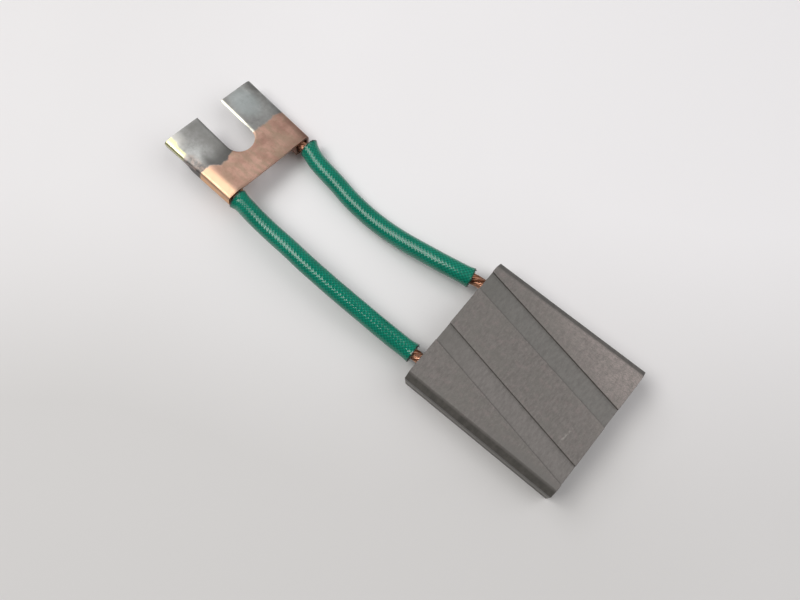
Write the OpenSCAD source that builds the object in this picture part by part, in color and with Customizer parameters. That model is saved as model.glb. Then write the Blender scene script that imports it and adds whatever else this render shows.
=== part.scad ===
// Industrial carbon brush: a grooved graphite block, two braided-sleeved copper flexibles and a
// folded copper fork terminal. The brush lies on its back face, the leads spring up and down a little
// on their way to the terminal, and the right sleeve touches the surface midway.
// Origin: centre of the block's back face. +X towards the wear face, +Z out of the grooved face.

/* [Carbon block] */
// Length from the lead face to the wear face
block_l = 37; // [30:0.5:50]
// Width across the leads
block_w = 32; // [29:0.5:40]
// Thickness
block_t = 8; // [6.5:0.5:14]
// Leg of the 45 degree chamfers along both long edges of the grooved face
edge_chamfer = 1.6; // [0.5:0.1:2.2]

/* [Dust grooves] */
// Width of a groove, square across it
groove_w = 4.5; // [2:0.1:6]
// Depth of a groove
groove_depth = 0.6; // [0.3:0.1:1.2]
// Distance between the groove centrelines, along the width at mid-length
groove_pitch = 14.3; // [8:0.1:16]
// Slant of the grooves from the block's length
groove_angle = 10.9; // [0:0.1:14]

/* [Lead holes] */
// Distance from each long side of the block to the axis of its lead hole
lead_inset = 5.5; // [4.5:0.5:7]
// Diameter of a lead hole
hole_d = 4.4; // [4:0.1:5]
// Depth of a lead hole at full diameter
hole_depth = 12; // [8:0.5:18]
// Angle of the drill point at the bottom of a hole
drill_angle = 118; // [90:2:140]
// How far the tamping powder stops short of the lead face
tamping_recess = 0.4; // [0:0.1:1.5]

/* [Leads] */
// Diameter of the stranded conductor
lead_d = 2.6; // [1.8:0.1:2.8]
// Clearance of each lead in its tamping and in the solder
lead_fit = 0.02; // [0.01:0.01:0.05]

/* [Sleeves] */
// Outside diameter of a braided sleeve
sleeve_d = 4.3; // [4.2:0.1:4.6]
// Wall of a sleeve
sleeve_wall = 0.55; // [0.3:0.05:0.65]
// Outside diameter of a sleeve's belled end
bell_d = 5.2; // [4.6:0.1:5.6]
// Length over which the end bells out
bell_l = 2.4; // [1:0.2:4]
// Bare conductor between the lead face and the left sleeve
bare_left = 2; // [1:0.2:4]
// Bare conductor between the lead face and the right sleeve
bare_right = 3; // [1:0.2:4]
// Gap between the left sleeve and its barrel
mouth_gap_left = 0.4; // [0.3:0.1:2]
// Gap between the right sleeve and its barrel
mouth_gap_right = 1.4; // [0.3:0.1:2]

/* [Fork terminal] */
// Overall width over the rolled edges
terminal_w = 24; // [22:0.5:28]
// Length from the tine tips to the back edge
terminal_l = 20.4; // [18:0.2:22]
// Thickness of the copper sheet
sheet_t = 0.7; // [0.5:0.1:1]
// Width of the stud slot
slot_w = 7; // [5:0.1:9]
// Depth of the stud slot from the tips to its round bottom
slot_l = 14; // [10:0.5:16]
// Clearance between a lead and the inside of its rolled barrel
barrel_clearance = 0.15; // [0.1:0.05:0.3]
// How far round each edge is rolled
roll_angle = 300; // [240:5:320]
// Length of the solder fill in each barrel
solder_l = 9; // [4:0.5:14]
// Clearance of the solder in its barrel and of the tamping in its hole
seat_fit = 0.02; // [0.01:0.01:0.05]
// Distance from the lead face to the tine tips
terminal_reach = 74.5; // [73:0.5:84]
// Sideways place of the tip centre
terminal_y = 3.3; // [-2:0.1:6]
// Height of the tip centre above the surface
terminal_z = 7; // [6.8:0.1:10]
// Turn of the terminal about the vertical
terminal_yaw = -5.3; // [-8:0.1:8]
// Lean of the terminal to one side
terminal_roll = -7; // [-8:0.5:8]
// Dip of the terminal from its tips to its back edge
terminal_dip = 2; // [-3:0.5:3]
// Flare of the left rolled edge, away from the slot towards its tip
left_flare = 3; // [0:0.5:4]

/* [Hidden] */

graphite = "#6f6b68";
powder = "#8c8078";
bare_copper = "#b4705a";
copper = "#b08c7d";
varnish_green = "#0c7c5c";
tin = "#9c9d98";

round_fn = 64;
over = 0.1; // how far a cut runs past a face
left = -1;
right = 1;

lead_face_x = -block_l / 2;
lead_pitch = block_w - 2 * lead_inset;
hole_z = block_t / 2;
groove_run = block_l * 1.5 + block_w; // longer than the block at any slant
drill_point_l = hole_d / 2 / tan(drill_angle / 2);
lead_end_gap = 1; // from the lead's end to where the drill point starts, and to the tine tips

barrel_r_in = lead_d / 2 + barrel_clearance;
barrel_r_out = barrel_r_in + sheet_t;
barrel_y = terminal_w / 2 - barrel_r_out; // barrel axis from the terminal's middle
seam_start = 90 + (360 - roll_angle);

// ---- where the terminal lies ----
function turn_x(p, a) = [p[0], p[1] * cos(a) - p[2] * sin(a), p[1] * sin(a) + p[2] * cos(a)];
function turn_y(p, a) = [p[0] * cos(a) + p[2] * sin(a), p[1], p[2] * cos(a) - p[0] * sin(a)];
function turn_z(p, a) = [p[0] * cos(a) - p[1] * sin(a), p[0] * sin(a) + p[1] * cos(a), p[2]];
terminal_place = [lead_face_x - terminal_reach, terminal_y, terminal_z];
function on_terminal(p) =
    terminal_place + turn_z(turn_y(turn_x(p, terminal_roll), terminal_dip), terminal_yaw);
function flare(side) = side == left ? left_flare : 0;
function barrel_offset(side, along) = side * (barrel_y + (terminal_l - along) * tan(flare(side)));
function barrel_axis(side, along) =
    on_terminal([along, barrel_offset(side, along), -barrel_r_out]);
module at_terminal() {
    translate(terminal_place) rotate([terminal_roll, terminal_dip, terminal_yaw]) children();
}

// ---- routes of the leads, chosen by hand ----
// Each point is [share of the way from the lead face to the barrel, offset across, rise], the last
// two measured from the straight line between the ends. No point lies lower than a sleeve on the
// surface that the brush lies on.
left_points = [[0.1, -0.4, 0.3], [0.2, -0.7, 0.8], [0.3, -0.9, 1.3], [0.4, -1.1, 1.8], [0.5, -1.2, 2.2],
               [0.6, -1.2, 2.4], [0.7, -1.0, 2.3], [0.8, -0.9, 1.9], [0.9, -0.6, 1.3]];
right_points = [[0.1, -0.9, 0.7], [0.2, -1.8, 0.7], [0.3, -2.4, 0.1], [0.4, -2.9, -0.6], [0.5, -3.1, -1.1],
                [0.6, -3.0, -1.2], [0.7, -2.5, -1.1], [0.8, -1.6, -0.7], [0.9, -0.9, -0.2]];
straight_out = 1.2; // the lead leaves its hole square to the face for this far
straight_in = 2; // and runs into its barrel in line with it for this far
function face_point(side, out) = [lead_face_x - out, side * lead_pitch / 2, hole_z];
function laid(from, to, p) =
    let (line = from + (to - from) * p[0])
    [line[0], line[1] + p[1], max(line[2] + p[2], sleeve_d / 2)];
function route(side) =
    let (from = face_point(side, 0), to = barrel_axis(side, terminal_l + straight_in))
    concat([face_point(side, lead_end_gap - hole_depth), from, face_point(side, straight_out)],
           [for (p = side == left ? left_points : right_points) laid(from, to, p)],
           [to, barrel_axis(side, terminal_l), barrel_axis(side, lead_end_gap)]);

// ---- lengths along a route ----
function span(path, i) = norm(path[i + 1] - path[i]);
function run_to(path, i) = i == 0 ? 0 : run_to(path, i - 1) + span(path, i - 1);
function part_way(path, s, i = 0) =
    (i == len(path) - 2 || s <= span(path, i))
        ? path[i] + (path[i + 1] - path[i]) * s / span(path, i)
        : part_way(path, s - span(path, i), i + 1);
function heading(path, i) =
    let (ahead = path[min(i + 1, len(path) - 1)], behind = path[max(i - 1, 0)])
    (ahead - behind) / norm(ahead - behind);

// ---- a round tube swept along points, solid or hollow ----
function ring(centre, along, r, sides) =
    let (across = cross([0, 0, 1], along), side = across / norm(across), up = cross(along, side))
    [for (k = [0:sides - 1]) centre + r * (cos(360 * k / sides) * up + sin(360 * k / sides) * side)];
function skin(rings, sides, closed) =
    [for (i = [0:rings - (closed ? 1 : 2)]) for (k = [0:sides - 1])
        let (j = (i + 1) % rings, n = (k + 1) % sides)
        [i * sides + k, i * sides + n, j * sides + n, j * sides + k]];
module solid_sweep(path, r, sides) {
    n = len(path);
    points = [for (i = [0:n - 1]) each ring(path[i], heading(path, i), r, sides)];
    ends = [[for (k = [sides - 1:-1:0]) k], [for (k = [0:sides - 1]) (n - 1) * sides + k]];
    polyhedron(points, concat(skin(n, sides, false), ends), convexity = 4);
}
// The skin runs out along the outside and comes back along the inside.
module hollow_sweep(path, radii, wall, sides) {
    n = len(path);
    outer = [for (i = [0:n - 1]) each ring(path[i], heading(path, i), radii[i], sides)];
    inner = [for (i = [n - 1:-1:0]) each ring(path[i], heading(path, i), radii[i] - wall, sides)];
    polyhedron(concat(outer, inner), skin(2 * n, sides, true), convexity = 6);
}

// ---- carbon block ----
module block_section() {
    polygon([[-block_w / 2, 0], [block_w / 2, 0],
             [block_w / 2, block_t - edge_chamfer], [block_w / 2 - edge_chamfer, block_t],
             [edge_chamfer - block_w / 2, block_t], [-block_w / 2, block_t - edge_chamfer]]);
}
module dust_groove(y) {
    translate([0, y, block_t - groove_depth])
        rotate([0, 0, -groove_angle])
            translate([-groove_run / 2, -groove_w / 2, 0])
                cube([groove_run, groove_w, groove_depth + over]);
}
// The shape of a drilled lead hole, or of what fills it when "play" is taken off all round.
module drilled(side, play, from) {
    translate(face_point(side, -from)) rotate([0, 90, 0]) {
        cylinder(d = hole_d - 2 * play, h = hole_depth - from, $fn = round_fn);
        translate([0, 0, hole_depth - from])
            cylinder(d1 = hole_d - 2 * play, d2 = 0, h = drill_point_l - play, $fn = round_fn);
    }
}
module carbon_block() color(graphite) {
    difference() {
        rotate([90, 0, 90]) linear_extrude(block_l, center = true) block_section();
        for (y = [-groove_pitch / 2, groove_pitch / 2]) dust_groove(y);
        for (side = [left, right]) drilled(side, 0, -over);
    }
}

// ---- tamping powder round a lead in its hole ----
module tamping(side) color(powder) {
    difference() {
        drilled(side, seat_fit, tamping_recess);
        translate(face_point(side, over)) rotate([0, 90, 0])
            cylinder(r = lead_d / 2 + lead_fit, h = hole_depth - lead_end_gap + over + lead_fit,
                     $fn = round_fn);
    }
}

// ---- stranded lead ----
lead_sides = 8;
module lead(side) color(bare_copper) solid_sweep(route(side), lead_d / 2, lead_sides);

// ---- braided sleeve with belled ends ----
sleeve_sides = 12;
ring_gap = 1; // rings of the straight part keep this far from the bells
module sleeve(side, bare, mouth_gap) color(varnish_green) {
    path = route(side);
    last = len(path) - 2; // the barrel's mouth
    start = run_to(path, 1) + bare;
    stop = run_to(path, last) - mouth_gap;
    bends = [for (i = [2:last - 1]) run_to(path, i)];
    between = [for (s = bends) if (s > start + bell_l + ring_gap && s < stop - bell_l - ring_gap) s];
    bell = [0, bell_l / 2, bell_l];
    stations = concat([for (b = bell) start + b], between, [for (i = [2:-1:0]) stop - bell[i]]);
    radii = [for (s = stations)
        let (near = min(s - start, stop - s), open = max(0, 1 - near / bell_l))
        sleeve_d / 2 + (bell_d - sleeve_d) / 2 * open * open];
    hollow_sweep([for (s = stations) part_way(path, s)], radii, sleeve_wall, sleeve_sides);
}

// ---- fork terminal: one sheet, its side edges rolled under into barrels ----
middle_lap = 2; // how far the two halves of the sheet run into each other
module rolled_edge() {
    far = 3 * barrel_r_out;
    translate([barrel_y, -barrel_r_out]) difference() {
        circle(barrel_r_out, $fn = round_fn);
        circle(barrel_r_in, $fn = round_fn);
        polygon([[0, 0], [0, far], [far * cos(seam_start), far * sin(seam_start)]]);
    }
}
module half_section() {
    translate([-middle_lap, -sheet_t]) square([middle_lap + barrel_y, sheet_t]);
    rolled_edge();
}
module terminal_half(side) {
    intersection() {
        translate([terminal_l, side * barrel_y, 0]) rotate([0, 0, -side * flare(side)])
            translate([-terminal_l - middle_lap, -side * barrel_y, 0])
                rotate([90, 0, 90]) linear_extrude(terminal_l + 2 * middle_lap)
                    mirror([side == left ? 1 : 0, 0]) half_section();
        translate([0, -terminal_w, -terminal_w / 2]) cube([terminal_l, 2 * terminal_w, terminal_w]);
    }
}
module stud_slot() {
    translate([0, 0, -sheet_t - over]) {
        translate([-over, -slot_w / 2, 0])
            cube([slot_l - slot_w / 2 + over, slot_w, sheet_t + 2 * over]);
        translate([slot_l - slot_w / 2, 0, 0])
            cylinder(d = slot_w, h = sheet_t + 2 * over, $fn = round_fn);
    }
}
module fork_terminal() color(copper) at_terminal() {
    difference() {
        union() for (side = [left, right]) terminal_half(side);
        stud_slot();
    }
}

// ---- solder that closes the tip end of a barrel over the lead ----
module solder(side) color(tin) at_terminal() {
    translate([0, barrel_offset(side, 0), -barrel_r_out]) rotate([0, 90, -side * flare(side)]) difference() {
        cylinder(r = barrel_r_in - seat_fit, h = solder_l, $fn = round_fn);
        translate([0, 0, lead_end_gap - lead_fit])
            cylinder(r = lead_d / 2 + lead_fit, h = solder_l, $fn = round_fn);
    }
}

carbon_block();
tamping(left);  // tamping_left
tamping(right);  // tamping_right
lead(left);  // lead_left
lead(right);  // lead_right
sleeve(left, bare_left, mouth_gap_left);  // sleeve_left
sleeve(right, bare_right, mouth_gap_right);  // sleeve_right
fork_terminal();
solder(left);  // solder_left
solder(right);  // solder_right
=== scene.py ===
import math

import bpy
import numpy as np
from mathutils import Matrix, Vector, noise


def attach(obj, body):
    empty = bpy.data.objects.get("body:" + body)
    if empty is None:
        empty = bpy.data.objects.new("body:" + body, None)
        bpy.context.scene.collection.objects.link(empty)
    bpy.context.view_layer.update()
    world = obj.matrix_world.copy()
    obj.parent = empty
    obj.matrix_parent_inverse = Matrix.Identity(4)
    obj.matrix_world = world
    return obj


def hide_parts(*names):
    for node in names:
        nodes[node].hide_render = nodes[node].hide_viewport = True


# The looks of the carbon brush. Lengths are in millimetres until MM turns them into metres.
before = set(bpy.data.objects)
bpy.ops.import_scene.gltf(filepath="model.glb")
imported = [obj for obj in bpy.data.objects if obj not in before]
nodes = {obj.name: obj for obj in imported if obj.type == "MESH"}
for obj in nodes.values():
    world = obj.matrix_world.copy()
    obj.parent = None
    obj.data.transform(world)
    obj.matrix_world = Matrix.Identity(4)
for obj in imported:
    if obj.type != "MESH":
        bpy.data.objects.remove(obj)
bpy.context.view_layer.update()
MM = 0.001
rng = np.random.default_rng(7)

scene = bpy.context.scene
scene.view_settings.view_transform = "Standard"


# ---------------------------------------------------------------- camera, fitted to the photograph
CAMERA_PLACE = (2.80, -35.62, 157.75)
CAMERA_RIGHT, CAMERA_UP, CAMERA_BACK = (0.7666, 0.6414, -0.0310), (-0.6079, 0.7404, 0.2867), (0.2068, -0.2010, 0.9575)
SENSOR_WIDTH, LENS = 36, 33.75


def camera():
    data = bpy.data.cameras.new("camera")
    data.sensor_width, data.lens = SENSOR_WIDTH, LENS
    data.clip_start, data.clip_end = 0.005, 5
    cam = bpy.data.objects.new("camera", data)
    scene.collection.objects.link(cam)
    rows = [[CAMERA_RIGHT[i], CAMERA_UP[i], CAMERA_BACK[i], CAMERA_PLACE[i] * MM] for i in range(3)]
    cam.matrix_world = Matrix(rows + [[0, 0, 0, 1]])
    scene.camera = cam


camera()


# ---------------------------------------------------------------- mesh helpers
def new_piece(name, verts, faces, smooth=True, attributes=None):
    mesh = bpy.data.meshes.new(name)
    mesh.from_pydata([tuple(v) for v in np.asarray(verts, float)], [], [tuple(int(i) for i in f) for f in faces])
    mesh.validate()
    if smooth:
        mesh.polygons.foreach_set("use_smooth", [True] * len(mesh.polygons))
    for key, values in (attributes or {}).items():
        layer = mesh.attributes.new(key, "FLOAT", "POINT")
        layer.data.foreach_set("value", np.asarray(values, np.float32))
    mesh.update()
    obj = bpy.data.objects.new(name, mesh)
    scene.collection.objects.link(obj)
    return obj


def grid_faces(rings, sides, first=0, closed_rings=False):
    """Faces between rings of points. closed_rings joins the last ring to the first one."""
    faces = []
    for i in range(rings if closed_rings else rings - 1):
        j = (i + 1) % rings
        for k in range(sides):
            n = (k + 1) % sides
            faces.append((first + i * sides + k, first + i * sides + n, first + j * sides + n, first + j * sides + k))
    return faces


def end_faces(rings, sides, first=0):
    """The two faces that close a tube of such rings."""
    last = first + (rings - 1) * sides
    return [list(range(first, first + sides))[::-1], list(range(last, last + sides))]


def circle(sides):
    return [2 * math.pi * k / sides for k in range(sides)]


def fine_edges(obj, width, degrees):
    """A narrow bevel on edges sharper than the given angle."""
    bevel = obj.modifiers.new("edges", "BEVEL")
    bevel.width, bevel.segments, bevel.limit_method = width * MM, 2, "ANGLE"
    bevel.angle_limit = math.radians(degrees)


# ---------------------------------------------------------------- lines in space
SPAN_STEPS = 24  # between two given points, before the line is cut into even steps


def lengths(path):
    """Run along the path up to each of its points."""
    return np.r_[0, np.cumsum(np.linalg.norm(np.diff(path, axis=0), axis=1))]


def nearest_run(path, point):
    return lengths(path)[np.argmin(np.linalg.norm(path - point, axis=1))]


def smooth_path(points, step):
    """A centripetal Catmull-Rom line through the points, at even steps."""
    p = [2 * np.array(points[0]) - np.array(points[1])] + [np.array(q, float) for q in points]
    p.append(2 * p[-1] - p[-2])
    out = []
    for i in range(1, len(p) - 2):
        a, b, c, d = p[i - 1], p[i], p[i + 1], p[i + 2]
        t = np.cumsum([0] + [math.sqrt(np.linalg.norm(v)) for v in (b - a, c - b, d - c)])
        for s in np.linspace(t[1], t[2], SPAN_STEPS, endpoint=False):
            a1 = (t[1] - s) / (t[1] - t[0]) * a + (s - t[0]) / (t[1] - t[0]) * b
            a2 = (t[2] - s) / (t[2] - t[1]) * b + (s - t[1]) / (t[2] - t[1]) * c
            a3 = (t[3] - s) / (t[3] - t[2]) * c + (s - t[2]) / (t[3] - t[2]) * d
            b1 = (t[2] - s) / (t[2] - t[0]) * a1 + (s - t[0]) / (t[2] - t[0]) * a2
            b2 = (t[3] - s) / (t[3] - t[1]) * a2 + (s - t[1]) / (t[3] - t[1]) * a3
            out.append((t[2] - s) / (t[2] - t[1]) * b1 + (s - t[1]) / (t[2] - t[1]) * b2)
    out.append(p[-2])
    out = np.array(out)
    run = lengths(out)
    at = np.linspace(0, run[-1], max(2, int(round(run[-1] / step)) + 1))
    return np.c_[[np.interp(at, run, out[:, i]) for i in range(3)]].T


def line_frames(path):
    """Heading, up and side unit vectors at each point."""
    heading = np.gradient(path, axis=0)
    heading /= np.linalg.norm(heading, axis=1)[:, None]
    side = np.cross([0, 0, 1], heading)
    side /= np.linalg.norm(side, axis=1)[:, None]
    return heading, np.cross(heading, side), side


# ---------------------------------------------------------------- sizes and places in mm, as in part.scad
BLOCK_L, BLOCK_W, BLOCK_T, CHAMFER = 37.0, 32.0, 8.0, 1.6
GROOVE_W, GROOVE_DEPTH, GROOVE_PITCH, GROOVE_ANGLE = 4.5, 0.6, 14.3, 10.9
HOLE_R, HOLE_DEPTH, DRILL_POINT_DEPTH = 2.2, 12, 13.3
LEAD_Y, LEAD_R = 10.5, 1.3
LEAD_END_GAP = 1  # from a lead's ends to where the drill's point starts, and to the terminal's tip
STRAIGHT_OUT, STRAIGHT_IN = 1.2, 2  # a lead leaves the block and enters its roll straight, for this far
SLEEVE_R, SLEEVE_WALL, BELL_L = 2.15, 0.55, 2.4
SHEET, TERM_W, TERM_L, SLOT_W, SLOT_L = 0.7, 24.0, 20.4, 7.0, 14.0
SLOT_R = SLOT_W / 2
SLOT_BEND = SLOT_L - SLOT_R  # where the slot's round bottom begins
ROLL_CLEARANCE, ROLL_TURN = 0.15, math.radians(300)
ROLL_IN = LEAD_R + ROLL_CLEARANCE
ROLL_OUT, ROLL_MID = ROLL_IN + SHEET, ROLL_IN + SHEET / 2
ROLL_Y = TERM_W / 2 - ROLL_OUT
LEFT, RIGHT = -1, 1
SIDES = ((LEFT, "left"), (RIGHT, "right"))
FLARE = {LEFT: math.radians(3), RIGHT: 0.0}
TERM_PLACE = np.array([-93.0, 3.3, 7.0])


def turn(axis, degrees):
    return np.array(Matrix.Rotation(math.radians(degrees), 3, axis))


TERM_TURN = turn("Z", -5.3) @ turn("Y", 2) @ turn("X", -7)


def on_terminal(p):
    return TERM_PLACE + np.asarray(p, float) @ TERM_TURN.T


def flared(side, along):
    """How far the roll lies outside its place at the back edge."""
    return (TERM_L - along) * math.tan(FLARE[side])


def barrel_axis(side, along):
    return on_terminal([along, side * (ROLL_Y + flared(side, along)), -ROLL_OUT])


# The routes of the leads, as in part.scad: share of the way, offset across, rise.
ROUTES = {
    LEFT: [(0.1, -0.4, 0.3), (0.2, -0.7, 0.8), (0.3, -0.9, 1.3), (0.4, -1.1, 1.8), (0.5, -1.2, 2.2),
           (0.6, -1.2, 2.4), (0.7, -1.0, 2.3), (0.8, -0.9, 1.9), (0.9, -0.6, 1.3)],
    RIGHT: [(0.1, -0.9, 0.7), (0.2, -1.8, 0.7), (0.3, -2.4, 0.1), (0.4, -2.9, -0.6), (0.5, -3.1, -1.1),
            (0.6, -3.0, -1.2), (0.7, -2.5, -1.1), (0.8, -1.6, -0.7), (0.9, -0.9, -0.2)],
}


def route(side):
    """Points of a lead's line, from inside the block to inside its roll."""
    def face(out):
        return np.array([-BLOCK_L / 2 - out, side * LEAD_Y, BLOCK_T / 2])
    start, end = face(0), barrel_axis(side, TERM_L + STRAIGHT_IN)
    points = [face(LEAD_END_GAP - HOLE_DEPTH), start, face(STRAIGHT_OUT)]
    for share, across, rise in ROUTES[side]:
        p = start + (end - start) * share
        points.append(np.array([p[0], p[1] + across, max(p[2] + rise, SLEEVE_R)]))
    return points + [end, barrel_axis(side, TERM_L), barrel_axis(side, LEAD_END_GAP)]


# ---------------------------------------------------------------- cords: stranded copper
PATH_STEP = 0.36
CORE_R, CORE_SIDES = LEAD_R - 0.30, 12
BUNCHES, BUNCH_R, BUNCH_SIDES, LAY_LENGTH = 15, 0.25, 7, 11.0
BUNCH_SUNK, WANDER_OUT, WANDER_ROUND = 0.04, 0.07, 0.16  # the last one is an angle


def stranded(name, side):
    """Bunches of fine wire laid round a core, along the whole route."""
    path = smooth_path(route(side), PATH_STEP)
    _, up, across = line_frames(path)
    run = lengths(path)
    verts, faces, kind = [], [], []

    def add(centre, radius, sides, value):
        faces.extend(grid_faces(len(path), sides, len(verts)) + end_faces(len(path), sides, len(verts)))
        for i in range(len(path)):
            for a in circle(sides):
                verts.append(centre[i] + radius * (math.cos(a) * up[i] + math.sin(a) * across[i]))
                kind.append(value)

    def wander(seed, rate, row):
        """Slow noise along the run."""
        return np.array([noise.noise(Vector((seed, s * rate, row))) for s in run])

    add(path, CORE_R, CORE_SIDES, 0.0)
    for start in circle(BUNCHES):
        seed = rng.uniform(0, 100)
        out = (LEAD_R - BUNCH_R) + WANDER_OUT * wander(seed, 0.55, 3.0) - BUNCH_SUNK
        a = start + 2 * math.pi * run / LAY_LENGTH + WANDER_ROUND * wander(seed, 0.4, 9.0)
        centre = path + out[:, None] * (np.cos(a)[:, None] * up + np.sin(a)[:, None] * across)
        add(centre, BUNCH_R, BUNCH_SIDES, 0.2 + 0.8 * rng.random())
    piece = new_piece(name, np.array(verts) * MM, faces, attributes={"bunch": kind})
    return piece, path


# ---------------------------------------------------------------- cords: braided sleeves
BRAID_STEP, BRAID_SIDES, LINING_RINGS = 0.105, 128, 40
CARRIERS, BRAID_LEAD = 16, 13.5  # yarns wound each way, and the run of one turn
BRAID_SUNK, RELIEF, UNEVENNESS = 0.100, 0.050, 0.025  # how far the gaps lie inside the CAD surface, and what is added
BELL_AT_BLOCK, BELL_AT_TERMINAL = 0.22, 0.36
RAGGED_OVER, LEAN_OVER, FRAYED_OVER, LINING_FRAYED_OVER = 1.6, 5.0, 0.55, 0.9  # lengths from the end
FIBRES, FIBRE_SIDES, FIBRE_TOPS = 22, 5, 0.6
FIBRE_RINGS = ((-0.6, 1), (0.35, 1), (0.75, 0.8), (1.0, 0.35))  # share of the fibre's reach, and of its radius


def braid_height(u, v):
    """Relief of a plain braid, 0 to 1: a crown at each crossing, long along the yarn on top."""
    cell_u, cell_v = np.round(u), np.round(v)
    total = np.zeros_like(u)
    for i in (-1, 0, 1):
        for j in (-1, 0, 1):
            du, dv = (u - cell_u - i) ** 2, (v - cell_v - j) ** 2
            even = (cell_u + i + cell_v + j) % 2 == 0
            total += np.exp(-np.where(even, 7.5 * du + 2.6 * dv, 2.6 * du + 7.5 * dv))
    return np.clip((total - 0.25) / 0.95, 0, 1)


def ragged_ends(theta, at, side):
    """How far each point near a cut end is pushed along the sleeve."""
    pushed = np.zeros((len(at), len(theta)))
    for k, a in enumerate(theta):
        for way, base, inwards in ((1, 0.0, at - at[0]), (-1, 50.0, at[-1] - at)):
            push = 0.22 * noise.noise(Vector((math.cos(a) * 4 + base, math.sin(a) * 4, side * 5)))
            push += 0.10 * noise.noise(Vector((math.cos(a) * 14, base, math.sin(a) * 14)))
            pushed[:, k] += way * (0.12 + 0.6 * push) * np.clip(1 - inwards / RAGGED_OVER, 0, 1) ** 2
    return pushed


def unevenness(theta, at, side, every_point=4, every_ring=6):
    """Slow noise over the sleeve, worked out on a coarse grid and filled in between."""
    coarse = np.array([[noise.noise(Vector((math.cos(a) * 1.3, math.sin(a) * 1.3, s * 0.28 + side * 20)))
                        for a in theta[::every_point]] for s in at[::every_ring]])
    rings, points = coarse.shape
    rows = np.interp(np.arange(len(at)), np.arange(0, len(at), every_ring), np.arange(rings))
    cols = np.interp(np.arange(len(theta)), np.arange(0, len(theta), every_point), np.arange(points))
    r0, c0 = np.floor(rows).astype(int), np.floor(cols).astype(int)
    r1, c1 = np.minimum(r0 + 1, rings - 1), (c0 + 1) % points
    fr, fc = (rows - r0)[:, None], (cols - c0)[None, :]
    return (coarse[np.ix_(r0, c0)] * (1 - fr) * (1 - fc) + coarse[np.ix_(r1, c0)] * fr * (1 - fc)
            + coarse[np.ix_(r0, c1)] * (1 - fr) * fc + coarse[np.ix_(r1, c1)] * fr * fc)


def loose_fibres(rims, middles, headings, first):
    """Short bent fibres at both cut ends: their points, their faces, and how frayed each point is."""
    verts, faces, frayed = [], [], []
    for rim, middle, heading, way in zip(rims, middles, headings, (-1, 1)):
        for k in range(FIBRES):
            j = int(rng.integers(BRAID_SIDES))
            base = rim[j] * 0.75 + (middle[j] + (rim[j] - middle[j]) * 0.8) * 0.25
            outwards = heading[j] * way
            radial = rim[j] - middle[j]
            radial /= np.linalg.norm(radial)
            spin = np.cross(outwards, radial)
            reach = rng.uniform(0.10, 0.36)
            lean = (outwards * reach + radial * rng.uniform(-0.25, 0.12) * reach
                    + spin * rng.uniform(-0.5, 0.5) * reach)
            radius = rng.uniform(0.025, 0.05)
            start = first + len(verts)
            tube = grid_faces(len(FIBRE_RINGS), FIBRE_SIDES, start) + end_faces(len(FIBRE_RINGS), FIBRE_SIDES, start)
            faces += [face[::way] for face in tube]
            for share, width in FIBRE_RINGS:
                centre = base - radial * 0.10 + lean * share + spin * 0.12 * reach * math.sin(3 * share + k)
                for a in circle(FIBRE_SIDES):
                    verts.append(centre + radius * width * (math.cos(a) * radial + math.sin(a) * spin))
                    frayed.append(0.25 + 0.75 * max(share, 0) * rng.random())
    return verts, faces, frayed


def braided(name, side, path, bare, mouth_gap, lean):
    """The braid, its lining and its loose fibres. lean moves the end at the terminal sideways."""
    run = lengths(path)
    start = nearest_run(path, route(side)[1]) + bare
    stop = nearest_run(path, route(side)[-2]) - mouth_gap
    rings = int((stop - start) / BRAID_STEP)
    at = np.linspace(start, stop, rings)
    theta = 2 * math.pi * np.arange(BRAID_SIDES) / BRAID_SIDES
    s_even = np.repeat(at[:, None], BRAID_SIDES, 1)
    th = np.repeat(theta[None, :], rings, 0)
    s = s_even + ragged_ends(theta, at, side)

    u = CARRIERS * (th / (2 * math.pi) + s / BRAID_LEAD)
    v = CARRIERS * (th / (2 * math.pi) - s / BRAID_LEAD)
    relief = braid_height(u, v)
    from_end = np.minimum(s_even - start, stop - s_even)
    bell = np.where(s_even - start < stop - s_even, BELL_AT_BLOCK, BELL_AT_TERMINAL)
    bell = bell * np.clip(1 - from_end / BELL_L, 0, 1) ** 2
    outer_r = SLEEVE_R + bell - BRAID_SUNK + RELIEF * relief + UNEVENNESS * unevenness(theta, at, side)
    inner_r = outer_r - SLEEVE_WALL + BRAID_SUNK

    def along(values):
        return np.stack([np.interp(s, run, values[:, i]) for i in range(3)], -1)

    headings, ups, sideways = line_frames(path)
    centre, up, across = along(path), along(ups), along(sideways)
    radial = np.cos(th)[..., None] * up + np.sin(th)[..., None] * across
    shift = (lean * (np.clip(1 - (stop - s_even) / LEAN_OVER, 0, 1) ** 2))[..., None] * across
    outer = centre + outer_r[..., None] * radial + shift
    lining = np.unique(np.linspace(0, rings - 1, LINING_RINGS).astype(int))[::-1]
    inner = (centre + inner_r[..., None] * radial + shift)[lining]

    verts = np.concatenate([outer.reshape(-1, 3), inner.reshape(-1, 3)])
    faces = grid_faces(rings + len(lining), BRAID_SIDES, closed_rings=True)
    ends = [0, -1]
    fibres, fibre_faces, frayed = loose_fibres(outer[ends], centre[ends], along(headings)[ends], len(verts))
    end = [np.clip(1 - from_end / FRAYED_OVER, 0, 1).ravel(),
           np.clip(1 - from_end[lining] / LINING_FRAYED_OVER, 0, 1).ravel(), frayed]
    tops = [relief.ravel(), np.zeros(len(lining) * BRAID_SIDES), np.full(len(fibres), FIBRE_TOPS)]
    return new_piece(name, np.concatenate([verts, fibres]) * MM, faces + fibre_faces,
                     attributes={"end": np.concatenate(end), "tops": np.concatenate(tops)})


# What each sleeve leaves bare at the block and at the terminal, and how far its end at the terminal leans sideways.
SLEEVE_FIT = {LEFT: (2.0, 0.4, 0.0), RIGHT: (3.0, 1.4, -0.85)}

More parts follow.
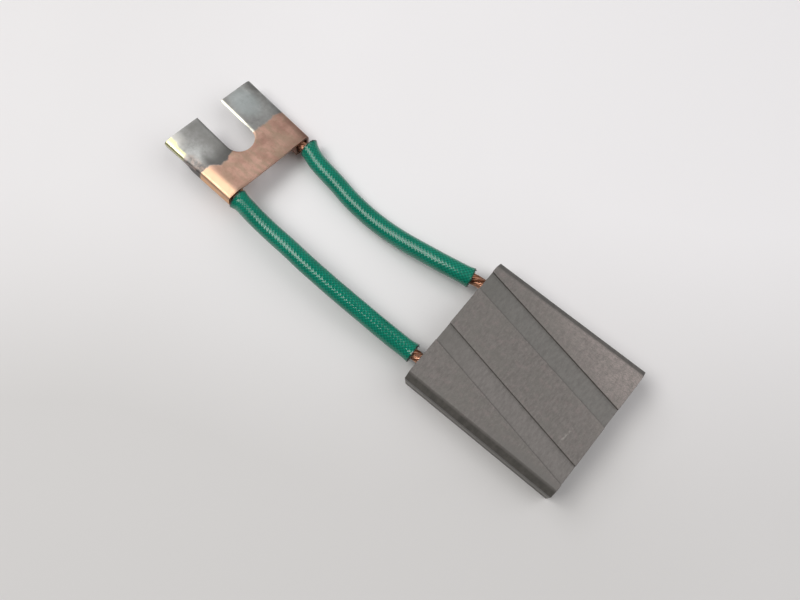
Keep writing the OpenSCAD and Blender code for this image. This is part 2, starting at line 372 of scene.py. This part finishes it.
cords = {}
for side, word in SIDES:
    copper, path = stranded("stranded_lead_" + word, side)
    sleeve = braided("braided_sleeve_" + word, side, path, *SLEEVE_FIT[side])
    for piece, node in ((copper, "lead_" + word), (sleeve, "sleeve_" + word)):
        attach(piece, "root")
        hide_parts(node)
    cords[word] = (copper, sleeve, path)

# ---------------------------------------------------------------- fork terminal
# The rolls were closed by hand and are boxy: flats at these angles from the top, at these distances from the axis.
FLATS = {"bare": [(10.5, 1.606), (82, 1.67), (115, 1.92), (185, 1.77), (265, 1.77)],
         "tip": [(0, 1.80), (22, 2.02), (100, 1.55), (128, 1.52), (185, 1.77), (265, 1.77)],
         "tinned": [(0, 1.80), (22, 2.10), (100, 1.55), (128, 1.52), (185, 1.77), (265, 1.77)],
         "right": [(0, 1.80), (20, 2.273), (93, 1.79), (182, 1.77), (265, 1.77)]}
SHARPNESS = 12  # of the corners between two flats
BARE_FROM, BARE_OVER = 6.0, 2.6  # where the left roll's soldered form changes to its bare one, and over what run
TIP_FADE = [1.5, 3.2]  # where its tip's form changes to the tinned one
BARE_SLOPE = math.tan(math.radians(10.5))  # of the sheet as it meets the bare left roll
SLOPE_FROM, SLOPE_FULL = ROLL_Y - 1.4, ROLL_Y - 0.4
# The shear rolled the right tine's edge over, less so round the bend.
ROLLED_AT, ROLLED_BY = [0, 8.6, 9.2, 10.0, 10.3, 11.2, 12.2], [0.16, 0.16, 0.05, 0.05, 0.13, 0.12, 0.03]
ROLLED_ELSEWHERE, ROLLED_OVER = 0.03, 0.45
FRONT_ROWS, BACK_ROWS, BEND_COLS, FLAT_COLS, ROLL_COLS = 30, 26, 24, 22, 90
TIP_INSET, THICKNESS_INSET = 0.04, 0.02  # these keep the sheet inside the CAD's
NEAR_SLOT = [0, 0.06, 0.13, 0.21, 0.30, 0.40, 0.52, 0.7]


def fold(phi, planes, inset):
    """Distance from the roll's axis to the sheet's middle, where flats of the given normals and distances meet."""
    total = sum((max(math.cos(phi - math.radians(n)), 0.02) / (d - inset)) ** SHARPNESS for n, d in planes)
    return total ** (-1 / SHARPNESS)


def bare_share(u, side):
    """How far the left roll has changed from its soldered form to its bare one."""
    bare = min(max((u - BARE_FROM) / BARE_OVER, 0.0), 1.0) if side == LEFT else 0.0
    return bare * bare * (3 - 2 * bare)


def roll_radius(u, phi, side, inset=0.0):
    """Distance from the roll's axis to the sheet's middle, or to a surface that lies inside that by the inset."""
    if side == RIGHT:
        return fold(phi, FLATS["right"], inset)
    bare, tip = bare_share(u, side), np.interp(u, TIP_FADE, [1.0, 0.0])
    tinned = tip * fold(phi, FLATS["tip"], inset) + (1 - tip) * fold(phi, FLATS["tinned"], inset)
    return bare * fold(phi, FLATS["bare"], inset) + (1 - bare) * tinned


def flat_height(u, y, side):
    """Height of the sheet's middle between the rolls."""
    bend = min(max(y - SLOPE_FROM, 0.0), 1.0)
    past = max(y - SLOPE_FULL, 0.0)
    slope = bare_share(u, side) * BARE_SLOPE * (0.5 * bend * bend + past)
    from_slot = (abs(y) if u < SLOT_BEND else math.hypot(u - SLOT_BEND, y)) - SLOT_R
    rolled = np.interp(u, ROLLED_AT, ROLLED_BY) if side == RIGHT and y > 0 else ROLLED_ELSEWHERE
    return -SHEET / 2 - slope - rolled * max(1 - from_slot / ROLLED_OVER, 0.0) ** 1.7


def sheet_point(u, y, phi, side):
    """One point of the sheet's middle surface on the right-hand side, before mirroring. phi is None off the roll."""
    if phi is None:
        return y, flat_height(u, y, side)
    r = roll_radius(u, phi, side)
    return ROLL_Y + r * math.sin(phi), -ROLL_OUT + r * math.cos(phi)


def terminal_sheet():
    """The mid-surface of the folded sheet, thickened by its modifiers."""
    shares = (np.arange(BACK_ROWS + 1) / BACK_ROWS) ** 1.5
    rows = list(np.linspace(TIP_INSET, SLOT_BEND, FRONT_ROWS)) + list(SLOT_BEND + (TERM_L - SLOT_BEND) * shares[1:])
    cols = [(SLOT_R + d, None) for d in NEAR_SLOT + list(np.linspace(0.95, ROLL_Y - SLOT_R, FLAT_COLS))]
    cols += [(None, phi) for phi in np.linspace(0, ROLL_TURN, ROLL_COLS)[1:]]
    verts, faces, along, across = [], [], [], []
    beside_bend = {}
    for side in (LEFT, RIGHT):
        ids = np.zeros((len(rows), len(cols)), int)
        for i, u in enumerate(rows):
            for j, (flat, phi) in enumerate(cols):
                y, z = sheet_point(u, flat, phi, side)
                weight = min(1.0, (y - SLOT_R) / (ROLL_Y - SLOT_R)) if phi is None else 1.0
                ids[i, j] = len(verts)
                verts.append([u, side * (y + flared(side, u) * weight), z])
                along.append(u)
                across.append(side * (flat if phi is None else ROLL_Y + ROLL_MID * phi))
        for i in range(len(rows) - 1):
            for j in range(len(cols) - 1):
                face = (ids[i, j], ids[i + 1, j], ids[i + 1, j + 1], ids[i, j + 1])
                faces.append(face[::side])  # mirroring turns the left side's faces, so they are listed backwards
        beside_bend[side] = ids[FRONT_ROWS - 1:, 0]
    # behind the slot's round bottom
    ids = np.zeros((BACK_ROWS + 1, BEND_COLS + 1), int)
    ids[:, 0], ids[:, -1] = beside_bend[LEFT], beside_bend[RIGHT]
    for j in range(1, BEND_COLS):
        a = math.pi * j / BEND_COLS
        y, start = -SLOT_R * math.cos(a), SLOT_BEND + SLOT_R * math.sin(a)
        for k in range(BACK_ROWS + 1):
            ids[k, j] = len(verts)
            u = start + (TERM_L - start) * shares[k]
            verts.append([u, y, flat_height(u, y, RIGHT)])
            along.append(u)
            across.append(y)
    for k in range(BACK_ROWS):
        for j in range(BEND_COLS):
            faces.append((ids[k, j], ids[k + 1, j], ids[k + 1, j + 1], ids[k, j + 1]))
    # a hand-worked sheet is never quite flat
    verts = np.array(verts)
    for i, (x, y, z) in enumerate(verts):
        verts[i, 2] += 0.05 * noise.noise(Vector((x * 0.12, y * 0.12, 4.0)))
        if z < -SHEET:
            verts[i, 1] += 0.04 * noise.noise(Vector((x * 0.25, y * 0.4, z)))
    obj = new_piece("fork_sheet", on_terminal(verts) * MM, faces,
                    attributes={"along": along, "round": across})
    solid = obj.modifiers.new("thickness", "SOLIDIFY")
    solid.thickness, solid.offset, solid.use_even_offset = (SHEET - THICKNESS_INSET) * MM, 0, True
    fine_edges(obj, 0.07, 50)
    return obj


FILL_SIDES, FILL_INSET = 72, 0.36
SEAM_AT, SEAM_R = [math.radians(a) for a in (296, 312, 330, 360)], [1.70, 1.50, 1.45, 1.44]  # where the roll is open
# Rings of the fill: place along the terminal, and share of the roll's radius. The last six make the sunken face.
FILL_RINGS = [(u, 1.0) for u in np.linspace(9.0, 0.5, 18)]
FILL_RINGS += [(0.34, 0.985), (0.27, 0.95), (0.29, 0.86), (0.36, 0.70), (0.43, 0.48), (0.47, 0.24)]


def solder_fill(name, side):
    """Solder that ran into the boxy roll round the lead's end, sunk in the middle where it cooled."""
    verts = []
    for u, share in FILL_RINGS:
        for phi in circle(FILL_SIDES):
            r = roll_radius(u, phi, side, FILL_INSET)
            if phi > SEAM_AT[0]:
                r = min(r, np.interp(phi, SEAM_AT, SEAM_R))
            y, z = share * r * math.sin(phi), share * r * math.cos(phi)
            rough = 0.10 * noise.noise(Vector((y * 0.9, z * 0.9, side * 3.0))) if share < 0.97 else 0.0
            verts.append([u + rough, side * (ROLL_Y + y + flared(side, u)), z - ROLL_OUT])
    faces = grid_faces(len(FILL_RINGS), FILL_SIDES) + end_faces(len(FILL_RINGS), FILL_SIDES)
    return new_piece(name, on_terminal(np.array(verts)) * MM, [face[::side] for face in faces])


fork = terminal_sheet()
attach(fork, "root")
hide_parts("fork_terminal")
fills = {}
for side, word in SIDES:
    fills[word] = solder_fill("solder_fill_" + word, side)
    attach(fills[word], "root")
    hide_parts("solder_" + word)

for side, word in SIDES:
    copper, sleeve, path = cords[word]


# ---------------------------------------------------------------- graphite block
HOLE_SIDES = 48
# Half the length of a groove's cutter, and how far the cutters start above the block and before it.
CUTTER_HALF_L, CUTTER_ABOVE, CUTTER_BEFORE = 45, 2, 1


def graphite_block():
    half_w, half_l, inner = BLOCK_W / 2, BLOCK_L / 2, BLOCK_W / 2 - CHAMFER
    section = [(-half_w, 0), (half_w, 0), (half_w, BLOCK_T - CHAMFER), (inner, BLOCK_T), (-inner, BLOCK_T),
               (-half_w, BLOCK_T - CHAMFER)]
    verts = [(x, y, z) for x in (-half_l, half_l) for y, z in section]
    faces = [tuple(range(6))[::-1], tuple(range(6, 12))]
    faces += [(k, (k + 1) % 6, 6 + (k + 1) % 6, 6 + k) for k in range(6)]
    obj = new_piece("graphite_block", np.array(verts) * MM, faces, smooth=False)
    cutters = []

    def cut(verts, faces, name):
        mesh = bpy.data.meshes.new(name)
        mesh.from_pydata([tuple(float(q) * MM for q in v) for v in verts], [], faces)
        tool = bpy.data.objects.new(name, mesh)
        scene.collection.objects.link(tool)
        mod = obj.modifiers.new(name, "BOOLEAN")
        mod.operation, mod.object, mod.solver = "DIFFERENCE", tool, "EXACT"
        cutters.append(tool)

    slant = turn("Z", -GROOVE_ANGLE)
    heights = (BLOCK_T - GROOVE_DEPTH, BLOCK_T + CUTTER_ABOVE)
    box_faces = [(0, 1, 3, 2), (4, 6, 7, 5), (0, 4, 5, 1), (2, 3, 7, 6), (0, 2, 6, 4), (1, 5, 7, 3)]
    for i, y in enumerate((-GROOVE_PITCH / 2, GROOVE_PITCH / 2)):
        box = [(sx * CUTTER_HALF_L, sy * GROOVE_W / 2, z) for sx in (-1, 1) for sy in (-1, 1) for z in heights]
        cut([slant @ np.array(p) + np.array([0, y, 0]) for p in box], box_faces, f"groove_{i}")
    n = HOLE_SIDES
    pairs = [(k, (k + 1) % n) for k in range(n)]
    drill_faces = [tuple(range(n))] + [(j, k, n + k, n + j) for k, j in pairs]
    drill_faces += [(n + j, n + k, 2 * n) for k, j in pairs]
    for i, y in enumerate((-LEAD_Y, LEAD_Y)):
        hole = [(x, y + math.cos(a) * HOLE_R, BLOCK_T / 2 + math.sin(a) * HOLE_R)
                for x in (-half_l - CUTTER_BEFORE, -half_l + HOLE_DEPTH) for a in circle(n)]
        hole.append((-half_l + DRILL_POINT_DEPTH, y, BLOCK_T / 2))
        cut(hole, [face[::-1] for face in drill_faces], f"hole_{i}")
    fine_edges(obj, 0.10, 30)
    bpy.context.view_layer.update()
    mesh = bpy.data.meshes.new_from_object(obj.evaluated_get(bpy.context.evaluated_depsgraph_get()))
    obj.modifiers.clear()
    obj.data = mesh
    for tool in cutters:
        bpy.data.objects.remove(tool)
    return obj


block = graphite_block()
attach(block, "root")
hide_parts("carbon_block")


# ---------------------------------------------------------------- material helpers
class Nodes:
    """A material with the Principled shader, and short ways to add nodes to it."""
    def __init__(self, name):
        self.mat = bpy.data.materials.new(name)
        self.mat.use_nodes = True
        self.tree = self.mat.node_tree
        self.bsdf = self.tree.nodes["Principled BSDF"]
        self.place = self.add("ShaderNodeTexCoord").outputs["Object"]

    def add(self, kind, **props):
        n = self.tree.nodes.new(kind)
        for k, v in props.items():
            setattr(n, k, v)
        return n

    def link(self, a, b):
        self.tree.links.new(a, b)

    def put(self, value, socket):
        if isinstance(value, (int, float, tuple, list)):
            socket.default_value = value
        else:
            self.link(value, socket)

    def math(self, op, a, b=0.0):
        n = self.add("ShaderNodeMath", operation=op)
        self.put(a, n.inputs[0])
        self.put(b, n.inputs[1])
        return n.outputs[0]

    def times(self, a, b):
        return self.math("MULTIPLY", a, b)

    def plus(self, a, b):
        return self.math("ADD", a, b)

    def minus(self, a, b):
        return self.math("SUBTRACT", a, b)

    def absolute(self, a):
        return self.math("ABSOLUTE", a)

    def square(self, a):
        return self.math("POWER", a, 2.0)

    def noise(self, scale, detail, rough, stretch=(1, 1, 1), turn=(0, 0, 0), shift=(0, 0, 0), distortion=0.0):
        m = self.add("ShaderNodeMapping")
        m.inputs["Scale"].default_value = stretch
        m.inputs["Rotation"].default_value = turn
        m.inputs["Location"].default_value = shift
        self.link(self.place, m.inputs["Vector"])
        n = self.add("ShaderNodeTexNoise")
        n.inputs["Scale"].default_value = scale
        n.inputs["Detail"].default_value = detail
        n.inputs["Roughness"].default_value = rough
        n.inputs["Distortion"].default_value = distortion
        self.link(m.outputs[0], n.inputs["Vector"])
        return n.outputs["Fac"]

    def ramp(self, value, low, high, to_low=0.0, to_high=1.0):
        """From to_low to to_high, smoothly, as the value goes from low to high."""
        n = self.add("ShaderNodeMapRange", interpolation_type="SMOOTHSTEP")
        n.inputs["From Min"].default_value, n.inputs["From Max"].default_value = low, high
        n.inputs["To Min"].default_value, n.inputs["To Max"].default_value = to_low, to_high
        self.link(value, n.inputs["Value"])
        return n.outputs[0]

    def mix(self, factor, a, b):
        n = self.add("ShaderNodeMix", data_type="RGBA")
        self.put(factor, n.inputs["Factor"])
        for v, s in ((a, n.inputs["A"]), (b, n.inputs["B"])):
            self.put((*v, 1.0) if isinstance(v, tuple) and len(v) == 3 else v, s)
        return n.outputs["Result"]

    def attribute(self, name):
        return self.add("ShaderNodeAttribute", attribute_name=name, attribute_type="GEOMETRY").outputs["Fac"]

    def axes(self, vector=None):
        """The three parts of a vector, which is the place if none is given."""
        n = self.add("ShaderNodeSeparateXYZ")
        self.link(vector or self.place, n.inputs[0])
        return n.outputs

    def facing(self):
        return self.axes(self.add("ShaderNodeNewGeometry").outputs["Normal"])

    def bump(self, height, strength, distance):
        n = self.add("ShaderNodeBump")
        n.inputs["Strength"].default_value, n.inputs["Distance"].default_value = strength, distance
        self.link(height, n.inputs["Height"])
        self.link(n.outputs[0], self.bsdf.inputs["Normal"])

    def set(self, **values):
        for k, v in values.items():
            self.put(v, self.bsdf.inputs[k.replace("_", " ")])


SCRATCH_X, SCRATCH_Y, SCRATCH_SLOPE = 0.01355, -0.0044, 0.114  # its middle, and how far X changes with Y


def graphite_material():
    m = Nodes("graphite")
    x, y, z = m.axes()
    _, facing_y, facing_z = m.facing()
    # the groove floors, by their height in metres
    facing_up = m.ramp(facing_z, 0.9, 0.98)
    floor = m.times(m.ramp(z, 0.0077, 0.0075), facing_up)
    grain = m.noise(4200, 6, 0.75)
    cross = m.noise(1150, 6, 0.68, stretch=(1.9, 0.7, 1))
    cloud = m.noise(150, 5, 0.62, stretch=(1.3, 0.9, 1))
    blotch = m.noise(520, 6, 0.7, stretch=(1.8, 0.7, 1), shift=(0.3, 0.1, 0))
    base = m.mix(m.ramp(cross, 0.28, 0.74), (0.128, 0.117, 0.109), (0.208, 0.190, 0.181))
    base = m.mix(m.ramp(cloud, 0.40, 0.62, 0.0, 0.5), base, (0.158, 0.152, 0.138))
    flecks = m.noise(760, 4, 0.6, shift=(0.7, 0.2, 0))
    base = m.mix(m.ramp(flecks, 0.52, 0.66, 0.0, 0.45), base, (0.228, 0.186, 0.182))
    base = m.mix(m.ramp(flecks, 0.44, 0.34, 0.0, 0.30), base, (0.120, 0.116, 0.106))
    base = m.mix(m.ramp(grain, 0.30, 0.72, 0.0, 0.40), base, (0.090, 0.082, 0.078))
    # lighter, pinkish and mottled beyond the second groove, most towards the wear face
    far = m.ramp(m.plus(m.times(x, 0.5), y), 0.004, 0.0245)
    veins = m.noise(1500, 5, 0.72, stretch=(0.8, 2.4, 1), turn=(0, 0, 0.5), distortion=1.5)
    far = m.times(far, m.times(m.ramp(blotch, 0.34, 0.62, 0.45, 1.0), m.ramp(veins, 0.40, 0.57, 0.25, 1.2)))
    base = m.mix(far, base, (0.320, 0.276, 0.262))
    # painted shade: the land beside the left chamfer is a little darker towards the wear face
    painted_edge_shade = m.times(m.ramp(y, -0.0120, -0.0142), m.ramp(x, -0.006, 0.008, 0.15, 0.8))
    base = m.mix(painted_edge_shade, base, (0.136, 0.129, 0.122))
    # groove floors are smoother, the second one a little darker and greener
    lower_floor = m.mix(m.ramp(cross, 0.3, 0.7), (0.136, 0.126, 0.120), (0.188, 0.175, 0.168))
    upper_floor = m.mix(m.ramp(cross, 0.3, 0.7), (0.118, 0.115, 0.109), (0.160, 0.157, 0.149))
    floor_tone = m.mix(m.ramp(y, 0.000, 0.002), lower_floor, upper_floor)
    floor_tone = m.mix(m.ramp(x, -0.008, -0.0185, 0.0, 0.5), floor_tone, (0.094, 0.095, 0.086))
    base = m.mix(m.times(floor, 0.8), base, floor_tone)
    # painted shade: the chamfers are darker, fading out at their upper edges
    chamfer = m.times(m.ramp(facing_z, 0.30, 0.5), m.ramp(facing_z, 0.97, 0.85))
    left_fade, right_fade = [m.ramp(z, 0.0079, 0.0074, least, 0.95) for least in (0.10, 0.15)]
    chamfer = m.times(chamfer, m.mix(m.ramp(y, -0.002, 0.002), left_fade, right_fade))
    dark = m.mix(m.ramp(blotch, 0.35, 0.65), (0.052, 0.0485, 0.043), (0.080, 0.074, 0.066))
    base = m.mix(chamfer, base, dark)
    # saw lines along the sides
    side = m.ramp(m.absolute(facing_z), 0.3, 0.1)
    saw = m.noise(900, 4, 0.6, stretch=(0.05, 0.05, 1.6))
    base = m.mix(m.times(side, m.ramp(saw, 0.35, 0.65, 0.0, 0.65)), base, (0.075, 0.070, 0.062))
    # painted shade and a painted reflection: the left side is darker at its top, and the strip under that is lighter,
    # standing in for the lit floor mirrored in it
    left_side = m.ramp(facing_y, -0.8, -0.95)
    base = m.mix(m.times(left_side, m.ramp(z, 0.0042, 0.0052, 0.0, 0.65)), base, (0.050, 0.047, 0.042))
    painted_floor_reflection = m.times(m.ramp(z, 0.0022, 0.0030, 0.0, 0.6), m.ramp(z, 0.0046, 0.0040))
    base = m.mix(m.times(left_side, painted_floor_reflection), base, (0.270, 0.255, 0.225))
    # one light scratch across the land
    run = m.minus(y, SCRATCH_Y)
    off = m.absolute(m.minus(x, m.plus(m.times(run, SCRATCH_SLOPE), SCRATCH_X)))
    line = m.times(m.ramp(off, 0.00034, 0.00004), m.ramp(m.absolute(run), 0.0026, 0.0014))
    line = m.times(line, m.ramp(m.noise(1500, 3, 0.6), 0.42, 0.60))
    line = m.times(line, facing_up)
    base = m.mix(m.times(line, 0.5), base, (0.36, 0.34, 0.32))
    m.set(Base_Color=base, Roughness=m.ramp(grain, 0.3, 0.7, 0.46, 0.62), Metallic=0.0, Specular_IOR_Level=0.55)
    height = m.plus(m.times(grain, 0.35), m.times(cross, 0.65))
    height = m.minus(height, m.times(line, 0.5))
    m.bump(height, 0.30, 0.00006)
    return m.mat


def braid_material():
    m = Nodes("varnished_braid")
    tops, end = m.attribute("tops"), m.attribute("end")
    fine = m.noise(3800, 3, 0.6)
    tone = m.noise(190, 4, 0.6)
    base = m.mix(m.ramp(tone, 0.3, 0.7), (0.0006, 0.200, 0.129), (0.0010, 0.262, 0.172))
    # painted shade: the gaps between the yarns, and the lining, are darker
    base = m.mix(m.ramp(tops, 0.12, 0.90, 0.74, 0.0), base, (0.0004, 0.092, 0.058))
    base = m.mix(m.times(m.ramp(end, 0.15, 0.85), m.ramp(fine, 0.3, 0.6, 0.5, 0.95)), base, (0.022, 0.030, 0.026))
    # the right sleeve's varnish is a little duller
    _, y, _ = m.axes()
    duller = m.ramp(y, -0.002, 0.004, 0.0, 0.075)
    m.set(Base_Color=base, Roughness=m.plus(m.ramp(tone, 0.3, 0.7, 0.09, 0.15), duller), Specular_IOR_Level=0.52)
    m.bump(fine, 0.25, 0.00003)
    return m.mat


def strand_material():
    m = Nodes("bare_copper")
    bunch = m.attribute("bunch")
    wires = m.noise(3000, 3, 0.6, stretch=(0.25, 1, 1))
    tarnish = m.noise(420, 4, 0.6)
    base = m.mix(m.ramp(bunch, 0.1, 1.0), (0.24, 0.095, 0.050), (0.74, 0.42, 0.29))
    base = m.mix(m.ramp(tarnish, 0.40, 0.75, 0.0, 0.55), base, (0.30, 0.13, 0.05))
    m.set(Base_Color=base, Metallic=1.0, Roughness=m.ramp(tarnish, 0.3, 0.7, 0.26, 0.42))
    m.bump(wires, 0.6, 0.00006)
    return m.mat


TIN_EDGE, HUMP_AT, HUMP_HEIGHT = 11.25, -5.8, 1.7  # mm from the terminal's tip, across it, and further down
BELL_BASE = 2.718  # of the hump's bell curve


def terminal_material():
    m = Nodes("tinned_copper")
    along, across = m.attribute("along"), m.attribute("round")
    # the tin stops at an uneven line, furthest down on the left tine
    from_hump = m.square(m.times(m.plus(across, -HUMP_AT), 0.36))
    hump = m.math("POWER", BELL_BASE, m.times(from_hump, -1.0))
    edge = m.plus(TIN_EDGE, m.times(hump, HUMP_HEIGHT))
    ragged = m.times(m.minus(m.noise(260, 5, 0.6), 0.5), 2.6)
    depth = m.minus(m.plus(edge, ragged), along)
    tin = m.ramp(depth, -0.30, 0.22)
    rim = m.times(m.ramp(depth, 4.8, 0.6), tin)
    cloud = m.noise(170, 5, 0.6, shift=(0.05, 0.2, 0))
    fine = m.noise(900, 5, 0.65)
    streak = m.noise(300, 4, 0.6, stretch=(1.0, 2.2, 1), turn=(0, 0, 0.1))
    tin_tone = m.mix(m.ramp(cloud, 0.36, 0.66), (0.290, 0.288, 0.279), (0.560, 0.573, 0.566))
    left = m.ramp(across, -1.0, -3.0)
    # painted shade: the left tine's tin is darker, least towards its roll
    tin_tone = m.mix(m.times(left, m.ramp(across, -10.0, -4.5, 0.10, 0.72)), tin_tone, (0.175, 0.173, 0.165))
    # bluish in the middle of the right tine, and dark where the tin ends
    middle = m.plus(m.square(m.times(m.minus(along, 4.2), 0.24)), m.square(m.times(m.minus(across, 7.2), 0.36)))
    bluish = m.times(m.ramp(middle, 1.9, 0.1), m.ramp(fine, 0.30, 0.60, 0.5, 0.85))
    tin_tone = m.mix(bluish, tin_tone, (0.480, 0.532, 0.537))
    rim_share = m.mix(left, (0.40, 0.40, 0.40), (0.90, 0.90, 0.90))
    tin_tone = m.mix(m.times(rim, rim_share), tin_tone, (0.105, 0.104, 0.100))
    tin_tone = m.mix(m.ramp(fine, 0.35, 0.75, 0.0, 0.35), tin_tone, (0.20, 0.20, 0.19))
    # shinier solder with a painted light yellow highlight on the left roll's tip, then a rough patch where it ran out
    inner = m.plus(across, m.ramp(along, 3.4, 1.6, 0.0, -0.55))
    roll = m.times(m.ramp(inner, -10.30, -10.65), m.ramp(across, -12.1, -11.6))
    wavy = m.plus(along, m.times(m.minus(streak, 0.5), 3.0))
    shiny_solder_and_highlight = m.times(roll, m.ramp(wavy, 6.7, 5.7))
    patch = m.times(m.times(m.ramp(across, -9.2, -10.4), tin), m.ramp(wavy, 5.6, 7.2))
    # painted highlights: the rolled-over slot edge of the right tine is painted light yellow, and the left tine's
    # outer tip whitish beside the roll's highlight
    pale_tip_highlight = m.times(m.ramp(across, -7.4, -9.8), m.times(m.ramp(along, 4.6, 1.6), m.ramp(across, -10.8, -10.3)))
    slot_edge_highlight = m.times(m.ramp(across, 2.0, 3.4), m.ramp(along, 9.5, 6.5, 0.35, 1.0))
    tin_tone = m.mix(m.times(m.ramp(across, 4.0, 3.72), slot_edge_highlight), tin_tone, (0.86, 0.84, 0.64))
    tin_tone = m.mix(m.times(pale_tip_highlight, 0.55), tin_tone, (0.80, 0.79, 0.75))
    # painted highlight on the left roll's tip
    tin_tone = m.mix(m.times(shiny_solder_and_highlight, 0.9), tin_tone, (0.570, 0.560, 0.315))
    patch_tone = m.mix(m.ramp(fine, 0.38, 0.62), (0.13, 0.122, 0.118), (0.50, 0.39, 0.34))
    tin_tone = m.mix(m.times(patch, 0.6), tin_tone, patch_tone)
    # painted shade: the outer side of the left roll's tin is darker
    tin_tone = m.mix(m.ramp(across, -11.6, -12.0, 0.0, 0.8), tin_tone, (0.135, 0.133, 0.128))
    # bare copper, browner to the left and darker at the rear right corner
    cu_tone = m.mix(m.ramp(cloud, 0.34, 0.66), (0.420, 0.240, 0.190), (0.700, 0.445, 0.355))
    cu_tone = m.mix(m.ramp(streak, 0.36, 0.66, 0.0, 0.65), cu_tone, (0.415, 0.318, 0.228))
    cu_tone = m.mix(m.ramp(fine, 0.45, 0.80, 0.0, 0.40), cu_tone, (0.290, 0.160, 0.115))
    cu_tone = m.mix(m.ramp(across, -3.0, -7.5, 0.0, 0.42), cu_tone, (0.370, 0.225, 0.165))
    rear_right = m.times(m.ramp(across, 9.9, 11.2), m.ramp(along, 13.0, 19.5, 0.03, 0.52))
    cu_tone = m.mix(rear_right, cu_tone, (0.180, 0.085, 0.060))
    # more orange metal on the outside of the left roll; painted highlight: a lighter peach tone on its top
    outside = m.times(m.ramp(across, -11.4, -11.9), m.ramp(streak, 0.3, 0.7, 0.95, 0.55))
    cu_tone = m.mix(outside, cu_tone, (0.80, 0.47, 0.25))
    # painted highlight on the top of the left roll
    cu_tone = m.mix(m.times(m.ramp(across, -8.6, -9.8), m.ramp(across, -11.9, -11.4)), cu_tone, (0.640, 0.415, 0.275))
    rough = m.mix(tin, m.ramp(fine, 0.3, 0.7, 0.38, 0.46), m.ramp(fine, 0.3, 0.7, 0.36, 0.44))
    rough = m.mix(shiny_solder_and_highlight, rough, (0.26, 0.26, 0.26))
    m.set(Base_Color=m.mix(tin, cu_tone, tin_tone), Metallic=m.ramp(cloud, 0.3, 0.7, 0.82, 0.92),
          Roughness=m.plus(rough, m.times(patch, 0.15)))
    height = m.plus(m.times(fine, 0.3), m.times(tin, 0.5))
    height = m.plus(height, m.times(streak, 0.4))
    m.bump(height, 0.35, 0.00008)
    return m.mat


def solder_material():
    m = Nodes("solder")
    fine, cloud = m.noise(1300, 4, 0.6), m.noise(380, 4, 0.6)
    m.set(Base_Color=m.mix(m.ramp(cloud, 0.3, 0.7), (0.17, 0.175, 0.165), (0.40, 0.41, 0.395)), Metallic=0.85,
          Roughness=m.ramp(fine, 0.3, 0.7, 0.30, 0.48))
    m.bump(cloud, 0.5, 0.0001)
    return m.mat


def powder_material():
    m = Nodes("tamping_powder")
    specks, cloud = m.noise(2600, 5, 0.7), m.noise(700, 4, 0.6)
    base = m.mix(m.ramp(specks, 0.56, 0.66), (0.070, 0.062, 0.056), (0.42, 0.20, 0.11))
    m.set(Base_Color=base, Metallic=m.ramp(specks, 0.56, 0.66, 0.1, 0.9),
          Roughness=m.ramp(cloud, 0.3, 0.7, 0.55, 0.75))
    m.bump(m.plus(specks, cloud), 0.6, 0.00015)
    return m.mat


def dress(obj, material):
    obj.data.materials.clear()
    obj.data.materials.append(material)


dress(block, graphite_material())
dress(fork, terminal_material())
strand, braid = strand_material(), braid_material()
for copper, sleeve, _ in cords.values():
    dress(copper, strand)
    dress(sleeve, braid)
solder, powder = solder_material(), powder_material()
for _, word in SIDES:
    dress(fills[word], solder)
    dress(nodes["tamping_" + word], powder)


# ---------------------------------------------------------------- floor, world and lights
FLOOR_HALF, FLOOR_DROP = 1.5, 0.00003


def floor():
    m = Nodes("pale_floor")
    x, y, _ = m.axes()
    # painted light and shade on the floor: darker down the picture and to its left, lighter to its right
    down = m.minus(m.times(x, 0.61), m.times(y, 0.74))
    tone = m.plus(m.ramp(down, -0.050, 0.030), m.times(m.minus(m.noise(14, 3, 0.5), 0.5), 0.25))
    aside = m.plus(m.times(x, 0.77), m.times(y, 0.64))
    tone = m.plus(tone, m.minus(m.ramp(aside, -0.03, -0.10, 0.0, 0.25), m.ramp(aside, 0.0, 0.05, 0.0, 0.14)))
    m.set(Base_Color=m.mix(tone, (0.855, 0.850, 0.872), (0.655, 0.650, 0.652)), Roughness=0.85,
          Specular_IOR_Level=0.2)
    mesh = bpy.data.meshes.new("floor")
    corners = [(sx * FLOOR_HALF, sy * FLOOR_HALF, 0) for sx, sy in ((-1, -1), (1, -1), (1, 1), (-1, 1))]
    mesh.from_pydata(corners, [], [(0, 1, 2, 3)])
    obj = bpy.data.objects.new("floor", mesh)
    scene.collection.objects.link(obj)
    obj.location.z = -FLOOR_DROP
    dress(obj, m.mat)


floor()

world = bpy.data.worlds.new("studio")
world.use_nodes = True
scene.world = world
background = world.node_tree.nodes["Background"].inputs
background["Color"].default_value, background["Strength"].default_value = (1.0, 0.985, 0.96, 1), 0.15

LIGHTS_AIM = Vector((-0.035, 0, 0))
COOL, WARM = (1.0, 0.985, 0.985), (1.0, 0.98, 0.94)


def soft_light(name, direction, distance, size, power, colour):
    data = bpy.data.lights.new(name, "AREA")
    data.shape, data.size, data.size_y = "RECTANGLE", size[0], size[1]
    data.energy, data.color = power, colour
    obj = bpy.data.objects.new(name, data)
    scene.collection.objects.link(obj)
    way = Vector(direction).normalized()
    obj.location = LIGHTS_AIM + way * distance
    obj.rotation_mode = "QUATERNION"
    obj.rotation_quaternion = (-way).to_track_quat("-Z", "Y")


soft_light("light_right", (0.69, 0.47, 1.0), 0.60, (0.56, 0.56), 1.62, COOL)
soft_light("light_left_core", (-0.42, -0.33, 1.0), 0.60, (0.34, 0.30), 1.66, WARM)
soft_light("light_left_wide", (-0.92, 0.10, 1.0), 0.62, (0.40, 0.30), 0.95, COOL)
soft_light("light_back", (0.1, 1.7, 1.0), 0.70, (1.00, 0.50), 0.26, COOL)
